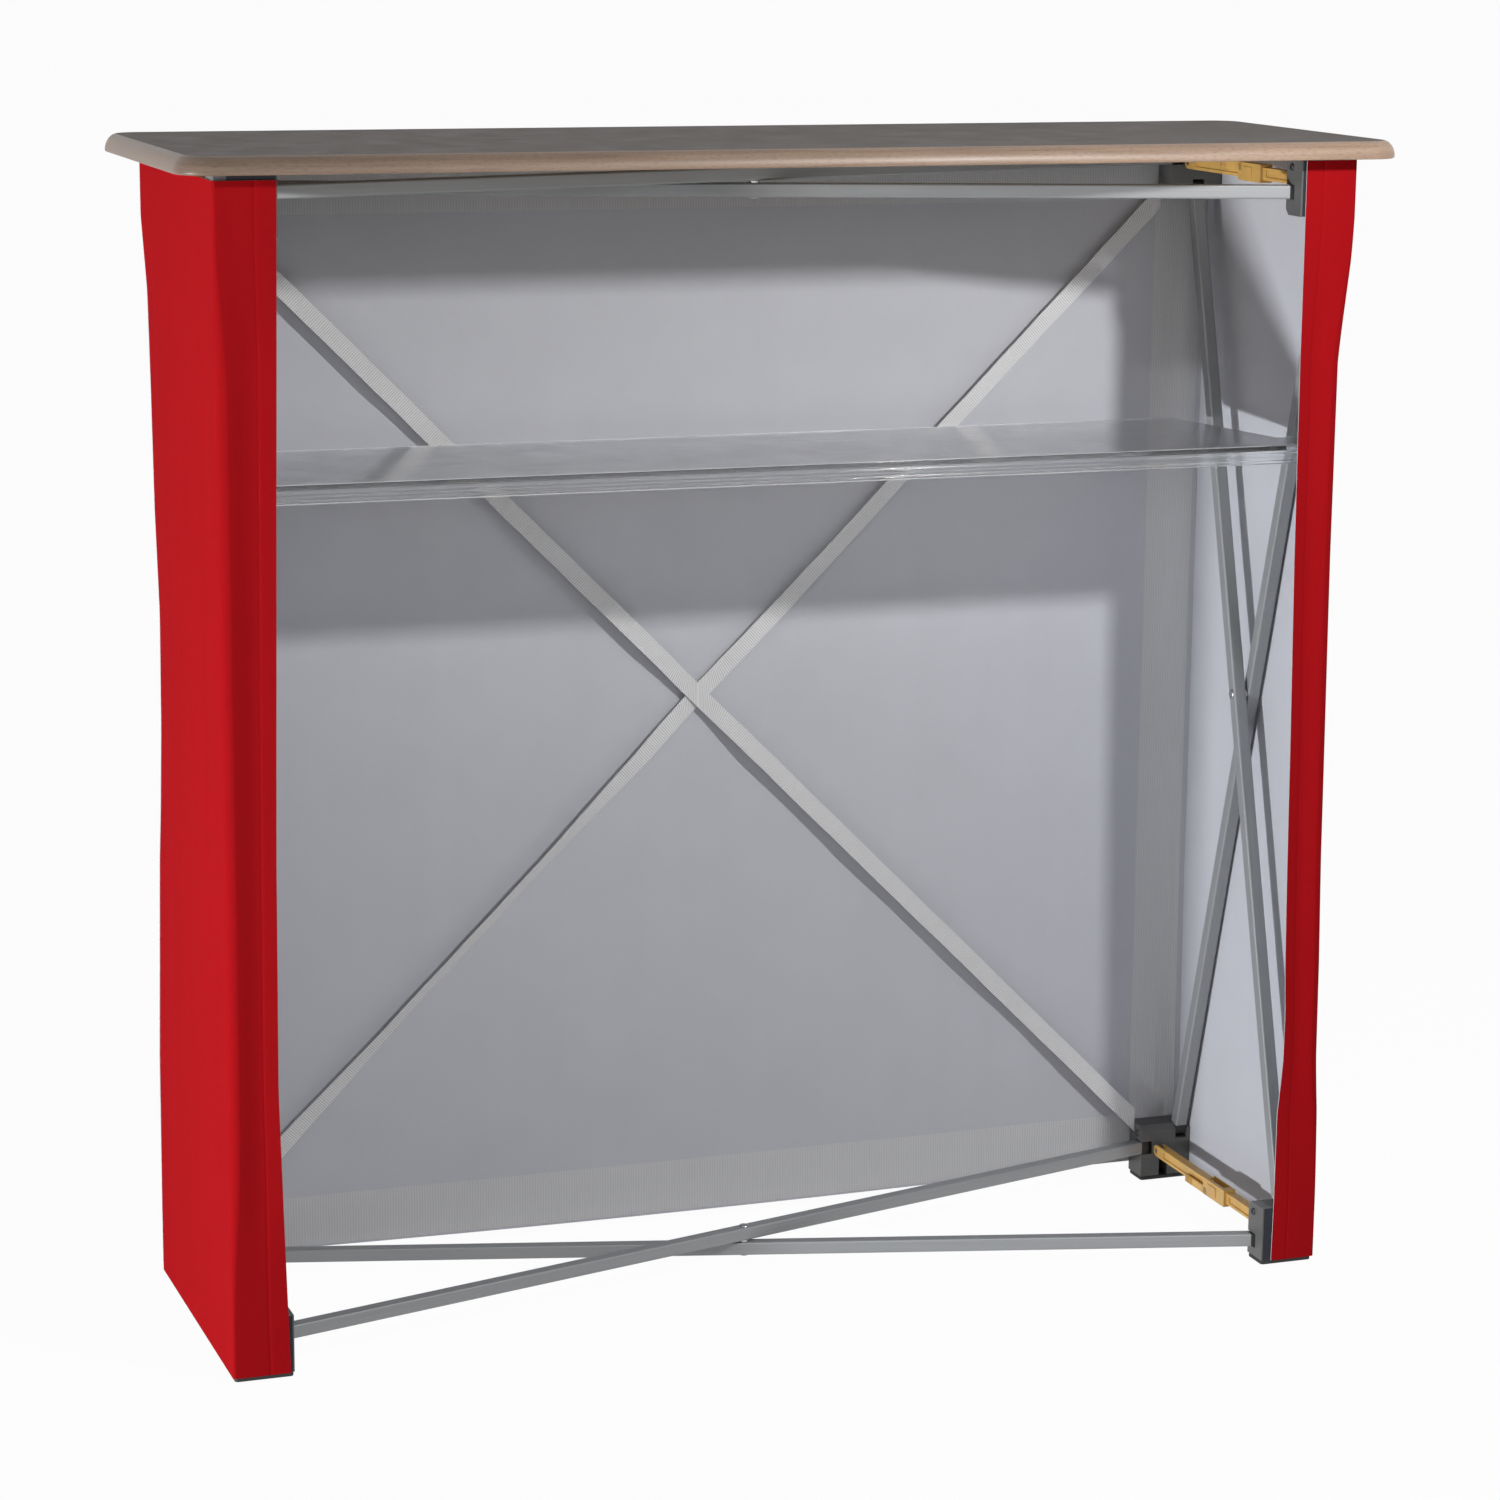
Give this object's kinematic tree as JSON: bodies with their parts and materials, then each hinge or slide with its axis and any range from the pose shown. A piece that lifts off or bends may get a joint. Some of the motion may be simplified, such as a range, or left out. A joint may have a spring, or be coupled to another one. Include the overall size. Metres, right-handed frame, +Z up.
{
  "type": "folding portable bar",
  "caption": "Pop-up serving bar: scissor frame of square tubes with corner hubs and lock braces, red cloth skin, clear shelf and beech-edged lift-off worktop.",
  "frame": {"origin": "on the floor under the middle of the worktop", "axes": "+X to the right seen from the staff side, +Y to the customer side, +Z up"},
  "size_m": [1.062, 0.334, 1.0113],
  "materials": {
    "aluminium_tube": "satin",
    "steel_rivet": "satin",
    "hub_plastic": "matte",
    "plug_plastic": "matte",
    "foot_rubber": "matte",
    "brace_plastic": "satin",
    "red_cloth": "matte",
    "webbing": "matte",
    "clear_plastic": "clear",
    "laminate": "matte",
    "beech": "lacquered",
    "board": "raw"
  },
  "bodies": {
    "corner_far_left_bottom": {"hub_far_left_bottom": "hub_plastic", "foot_far_left": "foot_rubber"},
    "floor_bar_lower": {"floor_bar_lower_tube": "aluminium_tube", "floor_bar_lower_near_plug": "plug_plastic", "floor_bar_lower_far_plug": "plug_plastic", "floor_rivet": "steel_rivet"},
    "corner_near_right_bottom": {"hub_near_right_bottom": "hub_plastic", "foot_near_right": "foot_rubber"},
    "floor_bar_upper": {"floor_bar_upper_tube": "aluminium_tube", "floor_bar_upper_near_plug": "plug_plastic", "floor_bar_upper_far_plug": "plug_plastic"},
    "corner_far_right_bottom": {"hub_far_right_bottom": "hub_plastic", "foot_far_right": "foot_rubber"},
    "corner_near_left_bottom": {"hub_near_left_bottom": "hub_plastic", "foot_near_left": "foot_rubber"},
    "left_bar_inner": {"left_bar_inner_tube": "aluminium_tube", "left_bar_inner_near_plug": "plug_plastic", "left_bar_inner_far_plug": "plug_plastic", "left_rivet": "steel_rivet"},
    "corner_near_left_top": {"hub_near_left_top": "hub_plastic"},
    "left_bar_outer": {"left_bar_outer_tube": "aluminium_tube", "left_bar_outer_near_plug": "plug_plastic", "left_bar_outer_far_plug": "plug_plastic"},
    "corner_far_left_top": {"hub_far_left_top": "hub_plastic"},
    "right_bar_outer": {"right_bar_outer_tube": "aluminium_tube", "right_bar_outer_near_plug": "plug_plastic", "right_bar_outer_far_plug": "plug_plastic", "right_rivet": "steel_rivet"},
    "corner_near_right_top": {"hub_near_right_top": "hub_plastic"},
    "right_bar_inner": {"right_bar_inner_tube": "aluminium_tube", "right_bar_inner_near_plug": "plug_plastic", "right_bar_inner_far_plug": "plug_plastic"},
    "corner_far_right_top": {"hub_far_right_top": "hub_plastic"},
    "top_bar_lower": {"top_bar_lower_tube": "aluminium_tube", "top_bar_lower_near_plug": "plug_plastic", "top_bar_lower_far_plug": "plug_plastic", "top_rivet": "steel_rivet"},
    "top_bar_upper": {"top_bar_upper_tube": "aluminium_tube", "top_bar_upper_near_plug": "plug_plastic", "top_bar_upper_far_plug": "plug_plastic"},
    "shelf": {"shelf": "clear_plastic"},
    "front_left": {"front_panel_left": "red_cloth", "strap_falling_left": "webbing", "strap_rising_left": "webbing"},
    "front_right": {"front_panel_right": "red_cloth", "strap_falling_right": "webbing", "strap_rising_right": "webbing"},
    "flap_left": {"side_flap_left": "red_cloth"},
    "flap_right": {"side_flap_right": "red_cloth"},
    "worktop": {"worktop_edging": "beech", "worktop_board": "board", "worktop_laminate": "laminate"},
    "brace_near_left_bottom": {"brace_near_left_bottom": "brace_plastic"},
    "brace_far_left_bottom": {"brace_far_left_bottom": "brace_plastic"},
    "brace_near_left_top": {"brace_near_left_top": "brace_plastic"},
    "brace_far_left_top": {"brace_far_left_top": "brace_plastic"},
    "brace_near_right_bottom": {"brace_near_right_bottom": "brace_plastic"},
    "brace_far_right_bottom": {"brace_far_right_bottom": "brace_plastic"},
    "brace_near_right_top": {"brace_near_right_top": "brace_plastic"},
    "brace_far_right_top": {"brace_far_right_top": "brace_plastic"}
  },
  "joints": [
    {"name": "frame_fold", "type": "hinge", "parent": "corner_far_left_bottom", "child": "floor_bar_lower", "pos_m": [-0.4535, 0.1295, 0.0185], "axis": [0, 0, -1], "range_deg": [0, 70], "deforming": ["front_panel_left", "strap_falling_left", "strap_rising_left", "front_panel_right", "strap_falling_right", "strap_rising_right", "side_flap_left", "side_flap_right"]},
    {"name": "turn_near_right_bottom", "type": "hinge", "parent": "floor_bar_lower", "child": "corner_near_right_bottom", "pos_m": [0.4535, -0.1155, 0.0185], "axis": [0, 0, 1], "range_deg": [0, 70.5]},
    {"name": "floor_cross", "type": "hinge", "parent": "floor_bar_lower", "child": "floor_bar_upper", "pos_m": [0, 0.007, 0.0255], "axis": [0, 0, 1], "range_deg": [0, 140.5]},
    {"name": "turn_far_right_bottom", "type": "hinge", "parent": "floor_bar_upper", "child": "corner_far_right_bottom", "pos_m": [0.4535, 0.1295, 0.0325], "axis": [0, 0, -1], "range_deg": [0, 70.5]},
    {"name": "turn_near_left_bottom", "type": "hinge", "parent": "floor_bar_upper", "child": "corner_near_left_bottom", "pos_m": [-0.4535, -0.1155, 0.0325], "axis": [0, 0, -1], "range_deg": [0, 70.5]},
    {"name": "left_lean", "type": "hinge", "parent": "corner_far_left_bottom", "child": "left_bar_inner", "pos_m": [-0.4755, 0.1295, 0.0465], "axis": [1, 0, 0], "range_deg": [0, 70.5]},
    {"name": "turn_near_left_top", "type": "hinge", "parent": "left_bar_inner", "child": "corner_near_left_top", "pos_m": [-0.4755, -0.1155, 0.9535], "axis": [-1, 0, 0], "range_deg": [0, 70.5]},
    {"name": "left_cross", "type": "hinge", "parent": "left_bar_inner", "child": "left_bar_outer", "pos_m": [-0.4825, 0.007, 0.5], "axis": [-1, 0, 0], "range_deg": [0, 140.5]},
    {"name": "turn_far_left_top", "type": "hinge", "parent": "left_bar_outer", "child": "corner_far_left_top", "pos_m": [-0.4895, 0.1295, 0.9535], "axis": [1, 0, 0], "range_deg": [0, 70.5]},
    {"name": "right_lean", "type": "hinge", "parent": "corner_far_right_bottom", "child": "right_bar_outer", "pos_m": [0.4895, 0.1295, 0.0465], "axis": [1, 0, 0], "range_deg": [0, 70.5]},
    {"name": "turn_near_right_top", "type": "hinge", "parent": "right_bar_outer", "child": "corner_near_right_top", "pos_m": [0.4895, -0.1155, 0.9535], "axis": [-1, 0, 0], "range_deg": [0, 70.5]},
    {"name": "right_cross", "type": "hinge", "parent": "right_bar_outer", "child": "right_bar_inner", "pos_m": [0.4825, 0.007, 0.5], "axis": [-1, 0, 0], "range_deg": [0, 140.5]},
    {"name": "turn_far_right_top", "type": "hinge", "parent": "right_bar_inner", "child": "corner_far_right_top", "pos_m": [0.4755, 0.1295, 0.9535], "axis": [1, 0, 0], "range_deg": [0, 70.5]},
    {"name": "top_fold", "type": "hinge", "parent": "corner_far_left_top", "child": "top_bar_lower", "pos_m": [-0.4535, 0.1295, 0.966], "axis": [0, 0, -1], "range_deg": [0, 70.5]},
    {"name": "top_cross", "type": "hinge", "parent": "top_bar_lower", "child": "top_bar_upper", "pos_m": [0, 0.007, 0.973], "axis": [0, 0, 1], "range_deg": [0, 140.5]},
    {"name": "shelf_draw", "type": "slide", "parent": "corner_near_left_bottom", "child": "shelf", "axis": [-0.2116, -0.6064, -0.7664], "range_m": [0, 0.9508]},
    {"name": "pleat_left", "type": "hinge", "parent": "corner_far_left_bottom", "child": "front_left", "pos_m": [-0.5, 0.1505, 0.499], "axis": [0, 0, 1], "range_deg": [0, 80.54]},
    {"name": "pleat_right", "type": "hinge", "parent": "front_left", "child": "front_right", "pos_m": [0, 0.1505, 0.499], "axis": [0, 0, -1], "range_deg": [0, 160.58]},
    {"name": "flap_swing_left", "type": "hinge", "parent": "corner_far_left_bottom", "child": "flap_left", "pos_m": [-0.4995, 0.1497, 0.499], "axis": [0, 0, -1], "range_deg": [0, 87.3]},
    {"name": "flap_swing_right", "type": "hinge", "parent": "corner_far_right_bottom", "child": "flap_right", "pos_m": [0.4995, 0.1497, 0.499], "axis": [0, 0, 1], "range_deg": [0, 87.3]},
    {"name": "brace_left_bottom", "type": "hinge", "parent": "corner_near_left_bottom", "child": "brace_near_left_bottom", "pos_m": [-0.4645, -0.1014, 0.031], "axis": [-1, 0, 0], "range_deg": [-85, 0]},
    {"name": "brace_left_bottom_far", "type": "hinge", "parent": "corner_far_left_bottom", "child": "brace_far_left_bottom", "pos_m": [-0.4645, 0.1154, 0.031], "axis": [1, 0, 0], "range_deg": [-85.5, 0]},
    {"name": "brace_left_top", "type": "hinge", "parent": "corner_near_left_top", "child": "brace_near_left_top", "pos_m": [-0.4645, -0.1014, 0.976], "axis": [1, 0, 0], "range_deg": [-85, 0]},
    {"name": "brace_left_top_far", "type": "hinge", "parent": "corner_far_left_top", "child": "brace_far_left_top", "pos_m": [-0.4645, 0.1154, 0.976], "axis": [-1, 0, 0], "range_deg": [-85.5, 0]},
    {"name": "brace_right_bottom", "type": "hinge", "parent": "corner_near_right_bottom", "child": "brace_near_right_bottom", "pos_m": [0.4645, -0.1014, 0.031], "axis": [-1, 0, 0], "range_deg": [-85, 0]},
    {"name": "brace_right_bottom_far", "type": "hinge", "parent": "corner_far_right_bottom", "child": "brace_far_right_bottom", "pos_m": [0.4645, 0.1154, 0.031], "axis": [1, 0, 0], "range_deg": [-85.5, 0]},
    {"name": "brace_right_top", "type": "hinge", "parent": "corner_near_right_top", "child": "brace_near_right_top", "pos_m": [0.4645, -0.1014, 0.976], "axis": [1, 0, 0], "range_deg": [-85, 0]},
    {"name": "brace_right_top_far", "type": "hinge", "parent": "corner_far_right_top", "child": "brace_far_right_top", "pos_m": [0.4645, 0.1154, 0.976], "axis": [-1, 0, 0], "range_deg": [-85.5, 0]},
    {"name": "worktop_lift", "type": "slide", "parent": "corner_far_left_top", "child": "worktop", "axis": [0, 0, 1], "range_m": [0, 0.2]}
  ],
  "couplings": [
    {"joint": "turn_near_right_bottom", "follows": "frame_fold", "ratio": 1},
    {"joint": "floor_cross", "follows": "frame_fold", "ratio": 2},
    {"joint": "turn_far_right_bottom", "follows": "frame_fold", "ratio": 1},
    {"joint": "turn_near_left_bottom", "follows": "frame_fold", "ratio": 1},
    {"joint": "left_lean", "follows": "frame_fold", "ratio": 1},
    {"joint": "turn_near_left_top", "follows": "frame_fold", "ratio": 1},
    {"joint": "left_cross", "follows": "frame_fold", "ratio": 2},
    {"joint": "turn_far_left_top", "follows": "frame_fold", "ratio": 1},
    {"joint": "right_lean", "follows": "frame_fold", "ratio": 1},
    {"joint": "turn_near_right_top", "follows": "frame_fold", "ratio": 1},
    {"joint": "right_cross", "follows": "frame_fold", "ratio": 2},
    {"joint": "turn_far_right_top", "follows": "frame_fold", "ratio": 1},
    {"joint": "top_fold", "follows": "frame_fold", "ratio": 1},
    {"joint": "top_cross", "follows": "frame_fold", "ratio": 2},
    {"joint": "shelf_draw", "follows": "frame_fold", "m_per_rad": 0.775},
    {"joint": "pleat_left", "follows": "frame_fold", "ratio": 1.1434},
    {"joint": "pleat_right", "follows": "frame_fold", "ratio": 2.2868},
    {"joint": "flap_swing_left", "follows": "frame_fold", "ratio": 1.24},
    {"joint": "flap_swing_right", "follows": "frame_fold", "ratio": 1.24},
    {"joint": "brace_left_bottom_far", "follows": "brace_left_bottom", "ratio": 1},
    {"joint": "brace_left_top_far", "follows": "brace_left_top", "ratio": 1},
    {"joint": "brace_right_bottom_far", "follows": "brace_right_bottom", "ratio": 1},
    {"joint": "brace_right_top_far", "follows": "brace_right_top", "ratio": 1}
  ]
}
